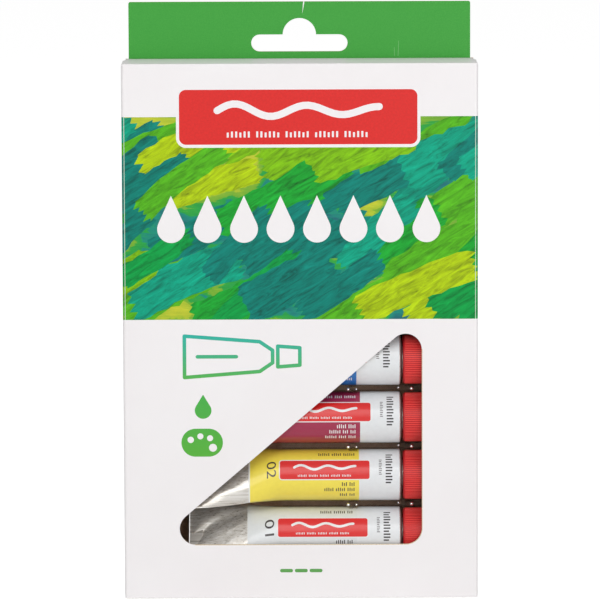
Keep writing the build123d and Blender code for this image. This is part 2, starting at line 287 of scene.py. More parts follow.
def ink(name, *colour):
    """A flat print colour with a slight mottle."""
    flat = srgb(*colour)
    return mottled(name, flat, 0.4, 1500, tones=(shade(flat, 0.93), shade(flat, 1.05)),
                   Specular_IOR_Level=0.35)


def ink_gradient(name, low_z, high_z, low, high):
    """A print colour that runs from low to high up the box."""
    material = new_material(name, high, 0.4, Specular_IOR_Level=0.35)
    split = add_node(material, "SeparateXYZ", [("Vector", object_coordinates(material), "Vector")])
    along = add_node(material, "MapRange", [("Value", split, "Z")],
                     {"From Min": low_z * MM, "From Max": high_z * MM})
    tint(material, along, "Result", (0.0, low), (1.0, high))
    return material


def aluminium():
    """Satin pressed aluminium with fine lengthwise scratches."""
    return mottled("aluminium", srgb(240, 238, 234), 0.36, 1.0, 5, rough=0.7, distortion=0.5,
                   stretch=(14, 2000, 2000), slant=-4, tones=(srgb(176, 166, 150), srgb(248, 246, 242)),
                   at=(0.24, 0.66), roughs=(0.24, 0.4), bump=(0.2, 0.00003), Metallic=0.55)


def edge_glint():
    """Plain bright, unscratched aluminium for the fold's cut edge, more metallic than the rest so that it
    shows as a painted glint.
    """
    return mottled("cut aluminium", srgb(240, 240, 240), 0.52, 900, roughs=(0.48, 0.56), Metallic=0.9)


def label_ink(name, *colour):
    """Glossy enamel print on a tube."""
    flat = srgb(*colour)
    return mottled(name, flat, 0.3, 700, Coat_Weight=0.5, Coat_Roughness=0.12,
                   tones=(shade(flat, 0.96), flat), bump=(0.06, 0.0001))


def cap_plastic():
    """Moulded red plastic with painted shade down in the grooves between the ribs and a painted highlight on
    the rib crests.

    Heights are wrapped to the first tube's, so that one distance to its axis serves all the caps.
    """
    material = new_material("cap red", srgb(204, 36, 42), 0.34)
    place = object_coordinates(material)
    split = add_node(material, "SeparateXYZ", [("Vector", place, "Vector")])
    height = add_node(material, "Math", [(0, split, "Z")],
                      {1: axis_height(1.5) * MM, 2: axis_height(0.5) * MM}, operation="WRAP")
    across = add_node(material, "CombineXYZ", [("X", split, "Y"), ("Y", height, "Value")])
    reach = add_node(material, "VectorMath", [(0, across, "Vector")],
                     {1: (TUBE_Y * MM, FIRST_TUBE_Z * MM, 0)}, operation="DISTANCE")
    # painted shade and highlight: colour runs from dark red at the groove floor to light red at the rib
    # crest, by distance from the axis
    low, high = CAP_RADIUS - CAP_RIB_DEPTH + 0.02, CAP_RADIUS - 0.02
    depth = add_node(material, "MapRange", [("Value", reach, "Value")],
                     {"From Min": low * MM, "From Max": high * MM})
    tint(material, depth, "Result", (0.0, srgb(196, 22, 28)), (1.0, srgb(252, 76, 70)))
    add_bump(material, noise_node(material, place, 1800, 2), 0.1, 0.00003)
    return material


def tray_plastic():
    """Thin clear sheet that lets most light straight through, with a slight ripple."""
    return mottled("tray clear", srgb(242, 226, 214), 0.05, 60, bump=(0.05, 0.0006),
                   Transmission_Weight=1.0, IOR=1.3, Alpha=0.35)


def button_plastic():
    """The glossy tops of the tray's bosses, mirrored so that they glint."""
    return mottled("tray bosses", srgb(252, 250, 248), 0.1, 300, bump=(0.05, 0.0003),
                   Metallic=0.9, Coat_Weight=1.0, Coat_IOR=3.0, Coat_Roughness=0.03)


# ---- plane shapes
def spaced(start, end, steps):
    """Evenly spaced values with both ends."""
    return [start + (end - start) * i / steps for i in range(steps + 1)]


def arc_points(cx, cz, radius, start, end, steps):
    """Points on an arc, angles in degrees."""
    angles = map(math.radians, spaced(start, end, steps))
    return [(cx + radius * math.cos(angle), cz + radius * math.sin(angle)) for angle in angles]


def rounded_polygon(corners, radius, steps=8):
    """The outline at a distance radius around a convex polygon given anticlockwise."""
    outline = []
    count = len(corners)
    for i, (x, z) in enumerate(corners):
        before, after = corners[i - 1], corners[(i + 1) % count]
        start = math.degrees(math.atan2(z - before[1], x - before[0])) - 90
        end = math.degrees(math.atan2(after[1] - z, after[0] - x)) - 90
        while end < start:
            end += 360
        outline += arc_points(x, z, radius, start, end, steps)
    return outline


def box(x0, z0, x1, z1):
    return [(x0, z0), (x1, z0), (x1, z1), (x0, z1)]


def plate(x0, z0, x1, z1, radius, steps=8):
    """A box with rounded corners."""
    return rounded_polygon(box(x0 + radius, z0 + radius, x1 - radius, z1 - radius), radius, steps)


def stroke(points, width):
    """Outline of a round-ended line along the points."""
    left, right = [], []
    for i, (x, z) in enumerate(points):
        ahead, behind = points[min(i + 1, len(points) - 1)], points[max(i - 1, 0)]
        dx, dz = ahead[0] - behind[0], ahead[1] - behind[1]
        share = width / 2 / math.hypot(dx, dz)
        left.append((x - dz * share, z + dx * share))
        right.append((x + dz * share, z - dx * share))

    def cap(centre, towards):
        angle = math.degrees(math.atan2(towards[1] - centre[1], towards[0] - centre[0]))
        return arc_points(*centre, width / 2, angle, angle + 180, 6)[1:-1]
    return left[::-1] + cap(points[0], left[0]) + right + cap(points[-1], right[-1])


def teardrop(cx, low, high, half):
    """A drop with its point up."""
    centre = low + half
    side = math.degrees(math.acos(half / (high - centre)))
    return [(cx, high)] + arc_points(cx, centre, half, 90 + side, 450 - side, 24)


def brush_stroke(rng, cx, cz, length, width, slant):
    """A broad brush stroke with wavering sides and split ends, kept inside the printed band."""
    bend = rng.uniform(-0.16, 0.16) * length
    bristles = 9

    def side(a):
        return [(t, a + rng.uniform(-0.05, 0.05) * width) for t in spaced(-length / 2, length / 2, 12)]

    def end(t, a0, a1, depth):
        return [(t + (rng.uniform(0.25, 1) if i % 2 else rng.uniform(-0.3, 0.2)) * depth,
                 a0 + (a1 - a0) * (i + 0.5) / bristles) for i in range(bristles)]
    upper, lower = side(width / 2), side(-width / 2)[::-1]
    outline = upper + end(length / 2, width / 2, -width / 2, 0.09 * length)
    outline += lower + end(-length / 2, -width / 2, width / 2, -0.07 * length)
    placed = []
    for t, a in outline:
        a += bend * (0.25 - (t / length) ** 2)
        x = cx + t * math.cos(slant) - a * math.sin(slant)
        z = cz + t * math.sin(slant) + a * math.cos(slant)
        placed.append((min(max(x, -SIDE_END), SIDE_END), min(max(z, ART_LOW), ART_HIGH)))
    return placed


def painted_band(inks):
    """Overlapping brush strokes all along the printed band, in patches of near colours."""
    rng = random.Random(41)
    regions = []
    columns, rows, jitter, middle_tone, tone_range = 13, 4, 4, 0.47, 1.1
    spots = [(c, r) for c in range(columns) for r in range(rows)]
    rng.shuffle(spots)
    for c, r in spots:
        cx = SIDE_END * (2 * (c + 0.5) / columns - 1) + rng.uniform(-jitter, jitter)
        cz = ART_LOW + (ART_HIGH - ART_LOW) * (r + 0.5) / rows + rng.uniform(-jitter, jitter)
        patch = noise.noise(Vector((0.035 * cx, 0.05 * cz, 8.4)))
        tone = middle_tone + tone_range * patch + rng.uniform(-0.12, 0.12)
        step = min(max(int(tone * len(STROKE_COLOURS)), 0), len(STROKE_COLOURS) - 1)
        slant = math.radians(STROKE_SLANT + rng.uniform(-16, 16))
        outline = brush_stroke(rng, cx, cz, rng.uniform(22, 38), rng.uniform(7, 13), slant)
        regions.append(Region(inks[f"stroke_{step}"], outline))
    return regions


def inside(loop, x, z):
    """Whether a point lies inside a closed loop."""
    hit = False
    x0, z0 = loop[-1]
    for x1, z1 in loop:
        if (z0 > z) != (z1 > z) and x < (x1 - x0) * (z - z0) / (z1 - z0) + x0:
            hit = not hit
        x0, z0 = x1, z1
    return hit


class Region:
    """A printed shape: points inside an odd number of its loops take its material."""

    def __init__(self, material, *loops):
        self.material = material
        self.loops = loops
        xs, zs = zip(*(point for loop in loops for point in loop))
        self.low, self.high = (min(xs), min(zs)), (max(xs), max(zs))

    def holds(self, x, z):
        if not (self.low[0] <= x <= self.high[0] and self.low[1] <= z <= self.high[1]):
            return False
        return sum(inside(loop, x, z) for loop in self.loops) % 2 == 1


def cut_sheet(outline, holes, regions, lines, base):
    """Triangulates a flat sheet along its shapes and lines of two points: points, triangles, materials."""
    points, edges = [], []
    loops = [outline, *holes, *(loop for region in regions for loop in region.loops)]
    for chain in loops + lines:
        first = len(points)
        points += map(Vector, chain)
        edges += [(first + i, first + i + 1) for i in range(len(chain) - 1)]
        if len(chain) > 2:
            edges.append((len(points) - 1, first))
    points, _, faces, *_ = geometry.delaunay_2d_cdt(points, edges, [], 0, 1e-5)
    triangles, materials = [], []
    for face in faces:
        x = sum(points[i].x for i in face) / 3
        z = sum(points[i].y for i in face) / 3
        if not inside(outline, x, z) or any(inside(hole, x, z) for hole in holes):
            continue
        triangles.append(tuple(face))
        materials.append(next((r.material for r in reversed(regions) if r.holds(x, z)), base))
    return [tuple(p) for p in points], triangles, materials


# ---- mesh helpers
class Build:
    """Collects spots and faces with materials for one object."""

    def __init__(self, name):
        self.name = name
        self.spots, self.faces, self.indices, self.materials = [], [], [], []

    def patch(self, spots, faces, materials):
        """Adds faces, each wound so that it fronts the way its normals point."""
        first = len(self.spots)
        self.spots += spots
        for face, material in zip(faces, materials):
            a, b, c = (Vector(spots[face[i]][0]) for i in (0, 1, 2))
            outward = sum((Vector(spots[i][1]) for i in face), Vector())
            if (b - a).cross(c - a).dot(outward) < 0:
                face = face[::-1]
            if material not in self.materials:
                self.materials.append(material)
            self.faces.append(tuple(first + i for i in face))
            self.indices.append(self.materials.index(material))

    def grid(self, rows, material, closed=False):
        """A quad grid over rows of spots; closed joins each row's ends."""
        width = len(rows[0])
        faces = []
        for r in range(len(rows) - 1):
            for c in range(width if closed else width - 1):
                d = (c + 1) % width
                faces.append((r * width + c, r * width + d, (r + 1) * width + d, (r + 1) * width + c))
        self.patch([spot for row in rows for spot in row], faces, [material] * len(faces))

    def turned(self, profile, centre, columns, material, axis=0):
        """Turns a profile about an axis: places along it, radii, and normals along it and outward."""
        def spun(along, out, angle):
            parts = [out * math.cos(angle), out * math.sin(angle)]
            parts.insert(axis, along)
            return Vector(parts)
        angles = spaced(0, 2 * math.pi, columns)[:-1]
        rows = []
        for along, radius, forward, outward in profile:
            rows.append([(tuple(Vector(centre) + spun(along, radius, angle)),
                          tuple(spun(forward, outward, angle).normalized())) for angle in angles])
        self.grid(rows, material, closed=True)

    def mesh(self):
        mesh = bpy.data.meshes.new(self.name)
        used = sorted({i for face in self.faces for i in face})
        place = {old: new for new, old in enumerate(used)}
        mesh.from_pydata([[MM * c for c in self.spots[i][0]] for i in used], [],
                         [[place[i] for i in face] for face in self.faces])
        for material in self.materials:
            mesh.materials.append(material)
        mesh.polygons.foreach_set("material_index", self.indices)
        mesh.polygons.foreach_set("use_smooth", [True] * len(self.faces))
        mesh.normals_split_custom_set_from_vertices([self.spots[i][1] for i in used])
        mesh.update()
        return mesh

    def object(self):
        return link_object(self.name, self.mesh())


def link_object(name, data):
    thing = bpy.data.objects.new(name, data)
    bpy.context.scene.collection.objects.link(thing)
    return thing


def finish_piece(piece, body, slot, *nodes):
    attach(piece, body)
    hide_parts(*nodes)


def board_object(name, sheet, place, inks, seams=(), creases=()):
    """A sheet given thickness: printed outer face, plain inner face and cut edges.

    Edges at the widths in seams join on to each other, so they get no rim. Edges at the heights in
    creases are folds, so they keep the coated face.
    """
    points, triangles, materials = sheet
    build = Build(name)
    outer = [place(*p) for p in points]
    inner = [(tuple(p - BOARD * n for p, n in zip(spot, normal)), tuple(-n for n in normal))
             for spot, normal in outer]
    build.patch(outer, triangles, materials)
    build.patch(inner, triangles, [inks["raw"]] * len(triangles))
    rims = {}
    for a, b, c in triangles:
        for ends in ((a, b), (b, c), (c, a)):
            key = frozenset(ends)
            rims[key] = None if key in rims else ends

    def along_any(ends, axis, levels, tolerance=1e-3):
        return any(all(abs(points[i][axis] - level) < tolerance for i in ends) for level in levels)
    for ends in filter(None, rims.values()):
        if along_any(ends, 0, seams):
            continue
        (a, normal), (b, _) = outer[ends[0]], outer[ends[1]]
        across = tuple((Vector(b) - Vector(a)).cross(Vector(normal)).normalized())
        corners = (a, b, inner[ends[1]][0], inner[ends[0]][0])
        face_material = inks["white"] if along_any(ends, 1, creases) else inks["edge"]
        build.patch([(corner, across) for corner in corners], [(0, 1, 2, 3)], [face_material])
    return build.object()


# ---- carton
FLAT_FRONT = HALF_WIDTH - FOLD_RADIUS
FLAT_SIDE = HALF_DEPTH - FOLD_RADIUS
ARC = FOLD_RADIUS * math.pi / 2
SIDE_END = FLAT_FRONT + ARC + 2 * FLAT_SIDE
SEAM = -(SIDE_END + ARC)
GIRTH = 4 * (FLAT_FRONT + FLAT_SIDE + ARC)
BACK_MIDDLE = GIRTH / 2


def wrap(u, z):
    """Place and normal on the sleeve: u runs to the right from the middle of the front wall."""
    u = (u + GIRTH / 2) % GIRTH - GIRTH / 2
    side, run = 1 if u >= 0 else -1, abs(u)
    facing = -1
    if run > GIRTH / 4:
        facing, run = 1, GIRTH / 2 - run
    if run <= FLAT_FRONT:
        return (side * run, facing * HALF_DEPTH, z), (0, facing, 0)
    run -= FLAT_FRONT
    if run <= ARC:
        x, y = side * math.sin(run / FOLD_RADIUS), facing * math.cos(run / FOLD_RADIUS)
        return (side * FLAT_FRONT + FOLD_RADIUS * x, facing * FLAT_SIDE + FOLD_RADIUS * y, z), (x, y, 0)
    return (side * HALF_WIDTH, facing * (FLAT_SIDE + ARC - run), z), (side, 0, 0)


def header_corners(left, right):
    """The header's rounded upper corners, from right to left."""
    low = HEADER_TOP - HEADER_CORNER
    return (arc_points(right - HEADER_CORNER, low, HEADER_CORNER, 0, 90, 4)
            + arc_points(left + HEADER_CORNER, low, HEADER_CORNER, 90, 180, 4))


def sleeve_outline():
    """The blank's edge: side walls stop short of the lids, the back wall rises as the header."""
    near = FLAT_FRONT + ARC - FOLD_RADIUS * math.asin((HALF_DEPTH - BOARD - FLAT_SIDE) / FOLD_RADIUS)
    behind = FLAT_FRONT + 2 * ARC + 2 * FLAT_SIDE
    end = SEAM + GIRTH
    right, left = BACK_MIDDLE + HEADER_HALF_WIDTH, BACK_MIDDLE - HEADER_HALF_WIDTH
    low = [(SEAM, SIDE_LOW), (-near, SIDE_LOW), (-near, 0), (near, 0), (near, SIDE_LOW),
           (behind, SIDE_LOW), (behind, 0), (end, 0), (end, SIDE_HIGH)]
    header = [(-behind + GIRTH, SIDE_HIGH), (-behind + GIRTH, BOX_HEIGHT), (right, BOX_HEIGHT)]
    header += header_corners(left, right) + [(left, BOX_HEIGHT)]
    high = [(behind, BOX_HEIGHT), (behind, SIDE_HIGH), (near, SIDE_HIGH), (near, BOX_HEIGHT),
            (-near, BOX_HEIGHT), (-near, SIDE_HIGH), (SEAM, SIDE_HIGH)]
    return low + header + high


def slot_outline(middle):
    """The hanging slot: a pill with a round rise in its upper edge."""
    top = SLOT_Z + SLOT_RADIUS
    half = math.sqrt(BUMP_RADIUS ** 2 - (top - BUMP_Z) ** 2)
    angle = math.degrees(math.atan2(top - BUMP_Z, half))
    reach = SLOT_HALF_WIDTH - SLOT_RADIUS
    return (arc_points(middle + reach, SLOT_Z, SLOT_RADIUS, -90, 90, 12)
            + arc_points(middle, BUMP_Z, BUMP_RADIUS, angle, 180 - angle, 20)
            + arc_points(middle - reach, SLOT_Z, SLOT_RADIUS, 90, 270, 12))


def fold_lines():
    """Lines up the sleeve on which its corners bend."""
    lines = []
    for start in (FLAT_FRONT, SIDE_END):
        for u in spaced(start, start + ARC, FOLD_STEPS):
            lines += [[(side * u, -1), (side * u, BOX_HEIGHT + 1)] for side in (1, -1) if side * u > SEAM]
    return lines


def badge_regions(white, red, x0, z0, x1, z1, corner, rim):
    """A red plate with a white rim, a wavy white line and a row of short ticks in groups."""
    width, height = x1 - x0, z1 - z0
    wave = []
    for t in spaced(0, 1, 32):
        swell = math.sin(4.5 * math.pi * t) * (1 - 0.5 * t)
        wave.append((x0 + width * (0.16 + 0.68 * t), z0 + height * (0.62 + 0.13 * swell)))
    regions = [Region(white, plate(x0 - rim, z0 - rim, x1 + rim, z1 + rim, corner + rim)),
               Region(red, plate(x0, z0, x1, z1, corner)),
               Region(white, stroke(wave, 0.13 * height))]
    count, group, start, span = 34, 7, 0.2, 0.6
    tick_width = 0.48 * width * span / count
    for i in range(count):
        if i % group < group - 1:
            left = x0 + width * (start + span * i / count)
            foot, top = z0 + 0.13 * height, z0 + (0.24 if i % 3 else 0.22) * height
            regions.append(Region(white, plate(left, foot, left + tick_width, top, 0.003 * height, 1)))
    return regions


def tube_icon(x0, z0, length, height, line):
    """Line drawing of a paint tube lying on its side with its cap to the right, as strokes."""
    middle, half = z0 + height / 2, (height - line) / 2

    def spot(along, up):
        return x0 + along * length, middle + up * half
    foot, head = spot(0.04, -1), spot(0.04, 1)
    body = [foot, spot(0.62, -0.72), spot(0.72, -0.3), spot(0.72, 0.3), spot(0.62, 0.72), head]
    cap = [spot(0.76, -0.5), spot(0.93, -0.42), spot(0.93, 0.42), spot(0.76, 0.5), spot(0.76, -0.5)]
    chains = (body, cap, [foot, head], [spot(0.14, 0), spot(0.44, 0)])
    return [stroke(pair, line) for chain in chains for pair in zip(chain, chain[1:])]


def window_rim():
    """The strip of the window's cut edge that shows at its foot and right side."""
    (left, low), (right, _), (_, high) = WINDOW_CORNERS
    foot, side, gap = low - WINDOW_RADIUS, right + WINDOW_RADIUS, 0.5
    rim = [(left, foot), (right - gap, foot)]
    rim += arc_points(right, low, WINDOW_RADIUS, -84, -6, 10)
    rim += [(side, low + gap), (side, high)]
    return stroke(rim, width=0.44)


def front_regions(inks):
    """Prints on the front wall, low layers first."""
    def in_ink(name, *loops):
        return Region(inks[name], *loops)
    regions = [in_ink("brushwork", box(-SIDE_END, ART_LOW, SIDE_END, ART_HIGH))]
    regions += painted_band(inks)
    # pale line along each fold of the printed band: partly ink cracked on the crease, partly a painted
    # highlight along the bend
    crease, half = FLAT_FRONT + 0.15, 0.1
    for side in (-1, 1):
        regions.append(in_ink("crease", box(side * crease - half, ART_LOW, side * crease + half, ART_HIGH)))
    regions.append(in_ink("edge", window_rim()))
    pitch = (ART_DROPS_RIGHT - ART_DROPS_LEFT) / ART_DROPS
    for i in range(ART_DROPS):
        drop = teardrop(ART_DROPS_LEFT + pitch * (i + 0.5), low=111.5, high=126.2, half=4.3)
        regions.append(in_ink("white", drop))
    regions += badge_regions(inks["white"], inks["red"], x0=-37.2, z0=142.0, x1=36.3, z1=159.0,
                             corner=2.1, rim=0.95)
    icon = tube_icon(x0=-37.6, z0=ICON_FOOT, length=40.2, height=ICON_HEIGHT, line=1.15)
    regions += [in_ink("teal_green", shape) for shape in icon]
    regions.append(in_ink("leaf", teardrop(-30.3, low=56.5, high=DROP_HIGH, half=2.6)))
    wells = [arc_points(x, z, radius, 0, 345, 23) for x, z, radius in
             ((-34.2, 49.9, 1.0), (-31.2, 51.0, 0.95), (-28.2, 50.4, 0.95), (-27.3, 47.4, 1.25))]
    regions.append(in_ink("leaf", plate(-37.1, PALETTE_LOW, -24.2, 53.4, radius=4.39, steps=16), *wells))
    for i in range(3):
        left = BARS_LEFT + BAR_PITCH * i
        regions.append(in_ink("small", plate(left, 8.0, left + BAR_LENGTH, 9.1, radius=0.5, steps=4)))
    return regions


def carton_sleeve(inks):
    holes = [rounded_polygon(WINDOW_CORNERS, WINDOW_RADIUS, 14), slot_outline(BACK_MIDDLE)]
    sheet = cut_sheet(sleeve_outline(), holes, front_regions(inks), fold_lines(), inks["white"])
    sleeve = board_object("sleeve_board", sheet, wrap, inks, seams=(SEAM, SEAM + GIRTH),
                          creases=(SIDE_LOW, SIDE_HIGH, BOX_HEIGHT))
    finish_piece(sleeve, "carton", "board_printed", "carton_sleeve")


def header_front(inks):
    """The header's front ply, printed green, with a nick in its upper edge and faint scuffs."""
    def place(x, z):
        return (x, HALF_DEPTH - 2 * BOARD, z), (0, -1, 0)
    reach = HEADER_HALF_WIDTH
    outline = [(-reach, BOX_HEIGHT), (reach, BOX_HEIGHT)] + header_corners(-reach, reach)
    marks = [
        Region(inks["white"], [(0.92, 180.9), (1.08, 181.8), (1.62, HEADER_TOP), (1.2, HEADER_TOP)]),
        Region(inks["scuff"], [(30.6, 167.6), (30.75, 167.6), (30.95, 172.4), (30.85, 172.4)]),
        Region(inks["scuff"], [(29.5, 167.7), (29.62, 167.7), (29.6, 170.3), (29.5, 170.3)]),
    ]
    sheet = cut_sheet(outline, [slot_outline(0)], marks, [], inks["green"])
    ply = board_object("header_ply", sheet, place, inks)
    finish_piece(ply, "carton", "board_printed", "header_front_ply")


# ---- tubes
def axis_height(number):
    return FIRST_TUBE_Z + TUBE_PITCH * (number - 1)


def flatness(x):
    """0 where the tube is round, 1 at the pressed end."""
    share = (ROUND_X - x) / (ROUND_X - FLAT_X)
    return min(max(share, 0.0), 1.0)


def half_thickness(x):
    """Round, then a long wedge, then a short pinch to the fold."""
    if x > WEDGE_X:
        share = (min(x, ROUND_X) - WEDGE_X) / (ROUND_X - WEDGE_X)
        return WEDGE_HALF + (TUBE_RADIUS - WEDGE_HALF) * share
    share = max(x - FOLD_END_X - 1, 0) / (WEDGE_X - FOLD_END_X - 1)
    return FLAT_HALF + (WEDGE_HALF - FLAT_HALF) * share


@functools.lru_cache(maxsize=None)
def lens_angle(half):
    """Half the angle of each arc of a lens that has the tube's girth and this half thickness."""
    low, high = 1e-3, math.pi / 2
    for _ in range(30):
        middle = (low + high) / 2
        if (1 - math.cos(middle)) / middle < half / QUARTER:
            low = middle
        else:
            high = middle
    return low


def section(x, s):
    """Place and normal across the tube at x, s along its girth from the upper tip, both tilted.

    A blend of a slot and a lens of the same girth: flat in front, with creased tips.
    """
    radius = half_thickness(x)
    quarter_arc = radius * math.pi / 2
    straight = QUARTER - quarter_arc
    quarter, run = divmod(s % (4 * QUARTER), QUARTER)
    if quarter % 2:
        run = QUARTER - run
    angle = min(run / radius, math.pi / 2)
    round_normal = Vector((math.cos(angle), math.sin(angle)))
    slot = Vector((straight + radius * math.cos(angle) - max(run - quarter_arc, 0), radius * math.sin(angle)))
    spread = lens_angle(radius)
    turn = spread * (1 - run / QUARTER)
    lens_normal = Vector((math.sin(turn), math.cos(turn)))
    lens = Vector((math.sin(turn), math.cos(turn) - math.cos(spread))) * (QUARTER / spread)
    along, out = slot.lerp(lens, LENS_SHARE)
    n_along, n_out = round_normal.lerp(lens_normal, LENS_SHARE).normalized()
    if quarter in (1, 2):
        along, n_along = -along, -n_along
    if quarter >= 2:
        out, n_out = -out, -n_out
    return TILTED_UP * along + TILTED_FRONT * out, TILTED_UP * n_along + TILTED_FRONT * n_out


def dents(x, s, seed):
    """Height of the shallow dents that pressing leaves, and of one soft fold across the front."""
    share = flatness(x)
    if share == 0:
        return 0.0
    s %= 4 * QUARTER
    angle = s / TUBE_RADIUS
    soft = noise.noise(Vector((x * 0.07 + 17 * seed, 1.3 * math.cos(angle), 1.3 * math.sin(angle))))
    slant = noise.noise(Vector((0.16 * x + 0.30 * s, 0.05 * s - 0.03 * x, 5.3 * seed)))
    height = -(0.35 * abs(soft) + 0.18 * abs(slant)) * math.sin(math.pi * min(1, share * 0.9)) ** 0.7
    if s < 2 * QUARTER:
        along = QUARTER - s
        if seed % 2:
            middle, rise, width = 5.6 - 9.7 * math.exp(-(x - FOLD_END_X - 1.6) / 6), -0.9, 2.2
        else:
            middle, rise, width = -8.0, 0.6, 2.0
        fade = min(1, 1.6 * share) * (1 - (along / QUARTER) ** 2)
        height += rise * fade * math.exp(-((along - middle) / width) ** 2)
    return height


def tube_place(axis_z, seed):
    def place(x, v):
        """v is the distance round the tube, upwards from its front line."""
        s = TUBE_RADIUS * (TILT + math.pi / 2) - v
        across, normal = section(x, s)
        across = across + normal * dents(x, s, seed)
        y = TUBE_Y + PRESS_SET_BACK * flatness(x) + across.y
        return (x, y, axis_z + across.z), tuple(normal)
    return place


def bare_end(build, place, metal, label_x):
    """The pressed length left of the label, as a grid with normals measured on the dented face."""
    half, nudge = 2 * QUARTER, 0.02
    rows = []
    for x in spaced(FOLD_END_X + 0.25, label_x, 52):
        row = []
        for v in spaced(-half, half, 120)[:-1]:
            spot, outward = map(Vector, place(x, v))
            ahead = Vector(place(x + nudge, v)[0]) - spot
            beside = Vector(place(x, v + nudge)[0]) - spot
            normal = ahead.cross(beside).normalized()
            row.append((tuple(spot), tuple(normal if normal.dot(outward) > 0 else -normal)))
        rows.append(row)
    build.grid(rows, metal, closed=True)


def rolled_fold(build, axis_z, metal, edge):
    """The flat end turned over on itself: a thick strip with rounded long edges and a fold line."""
    low, high, reach, radius, front_face = -0.65, FLAT_HALF, QUARTER - 0.7, 0.32, 0.3

    def spot(x, up, out):
        across = TILTED_UP * up + TILTED_FRONT * out
        return x, TUBE_Y + PRESS_SET_BACK + across.y, axis_z + across.z
    profile = []
    for x, out, start in ((FLAT_X - radius, high - radius, 0), (FOLD_END_X + radius, high - radius, 90),
                          (FOLD_END_X + radius, low + radius, 180), (FLAT_X - radius, low + radius, 270)):
        for angle in map(math.radians, spaced(start, start + 90, 4)):
            normal = tuple(Vector((math.cos(angle), 0, 0)) + TILTED_FRONT * math.sin(angle))
            profile.append((x + radius * math.cos(angle), out + radius * math.sin(angle), normal))
    rows = []
    for up in spaced(-reach, reach, 24):
        sink = abs(0.10 * noise.noise(Vector((up * 0.25, axis_z, 0.0))))
        rows.append([(spot(x, up, out - sink * (out > front_face)), normal) for x, out, normal in profile])
    build.grid(rows, metal, closed=True)
    for row, direction in ((rows[0], -TILTED_UP), (rows[-1], TILTED_UP)):
        build.patch([(place, tuple(direction)) for place, _ in row], [list(range(len(row)))], [metal])
    # the sheet's cut edge is a thin bright line, a painted glint, whose normal is turned towards the light
    lit_normal = (0.23, -0.96, 0.14)
    line = ((FOLD_END_X + 0.1, FLAT_HALF - 0.06), (FOLD_END_X + 0.34, FLAT_HALF + 0.06))
    rim = [spot(x, up, out) for up, ends in ((-reach, line), (reach, line[::-1])) for x, out in ends]
    build.patch([(place, lit_normal) for place in rim], [(0, 1, 2, 3)], [edge])


def shoulder_and_neck(build, axis_z, metal):
    """The sloping shoulder and the neck inside the cap."""
    profile = ((SHOULDER_X, TUBE_RADIUS, 0.2), (SHOULDER_X + 0.25, TUBE_RADIUS - 0.25, 0.8),
               (NECK_X, NECK_RADIUS, 1.0), (NECK_X, NECK_RADIUS, 0.0), (NECK_END_X, NECK_RADIUS, 0.0),
               (NECK_END_X, NECK_RADIUS, 1.0), (NECK_END_X, 0.01, 1.0))
    build.turned([(x, radius, forward, 1 - forward) for x, radius, forward in profile],
                 (0, TUBE_Y, axis_z), 48, metal)


def digit_loops(word, left, top, width, length):
    """Outlines of a plain number in Blender's own font, reading downwards and filling its field."""
    curve = bpy.data.curves.new("digits", "FONT")
    curve.body = word
    curve.fill_mode = "NONE"
    curve.resolution_u = 6
    curve.offset = 0.036
    thing = bpy.data.objects.new("digits", curve)
    mesh = bpy.data.meshes.new_from_object(thing)
    joined = {tuple(sorted(edge.vertices)) for edge in mesh.edges}
    points = [vertex.co for vertex in mesh.vertices]
    xs, ys, _ = zip(*points)
    across, down = width / (max(ys) - min(ys)), length / (max(xs) - min(xs))
    loops = []
    for i, p in enumerate(points):
        if (i - 1, i) not in joined:
            loops.append([])
        loops[-1].append((left + (p.y - min(ys)) * across, top - (p.x - min(xs)) * down))
    bpy.data.objects.remove(thing)
    bpy.data.curves.remove(curve)
    bpy.data.meshes.remove(mesh)
    return loops


def ticks(words, step, thick, length, short):
    """Ticks in place of words: where along their line each starts and ends, and how long it is."""
    along = 0
    for word in words:
        for i in range(word):
            yield along, along + thick, length * (short if i % 3 == 1 else 1)
            along += step
        along += 0.8 * step


def label_regions(inks, number, name):
    """The tube's print: colour field, number, small red plate, ticks for the small print."""
    rng = random.Random(number)
    shift = PRINT_SHIFTS[number - 1]
    half = 2 * QUARTER
    small = inks["print_dark" if name in PALE_PAINTS else "print_white"]
    digits = digit_loops(f"{number:02d}", left=-10.6 + shift, top=6.0, width=2.9, length=5.4)
    regions = [Region(inks[f"paint_{name}"], box(-15.85 + shift, -half, 18.15 + shift, half)),
               Region(small, *digits)]
    regions += badge_regions(inks["print_white"], inks["print_red"], x0=-6.5 + shift, z0=-0.1,
                             x1=21.4 + shift, z1=5.9, corner=0.7, rim=0.3)
    right, height = 16.7 + shift, 1.3
    for v in (-1.75, -3.65, -5.85, 8.5):
        words = [rng.randint(3, 6) for _ in range(rng.randint(2, 3))]
        foot = v - height / 2
        regions += [Region(small, plate(right - end, foot, right - start, foot + rise, 0.05, 1))
                    for start, end, rise in ticks(words, step=0.62, thick=0.3, length=height, short=0.82)]
    for key, left, top, width, count, step in (("print_dark", 26.4 + shift, 8.4, 2.1, 11, 0.94),
                                               ("print_grey", 24.3 + shift, 6.2, 0.95, 9, 0.58)):
        regions += [Region(inks[key], plate(left, top - end, left + reach, top - start, 0.05, 1))
                    for start, end, reach in ticks([count], step, step / 2, width, short=0.8)]
    return regions


def label(build, place, inks, number, name, label_x):
    """The enamelled length of the tube, cut along its print and along lines that carry its round."""
    half = 2 * QUARTER
    lines = [[(label_x, v), (SHOULDER_X, v)] for v in spaced(-half, half, 64)[1:-1]]
    lines += [[(x, -half), (x, half)] for x in spaced(label_x, ROUND_X, 8)[1:]]
    points, triangles, materials = cut_sheet(box(label_x, -half, SHOULDER_X, half), [],
                                             label_regions(inks, number, name), lines, inks["print_ground"])
    build.patch([place(*p) for p in points], triangles, materials)


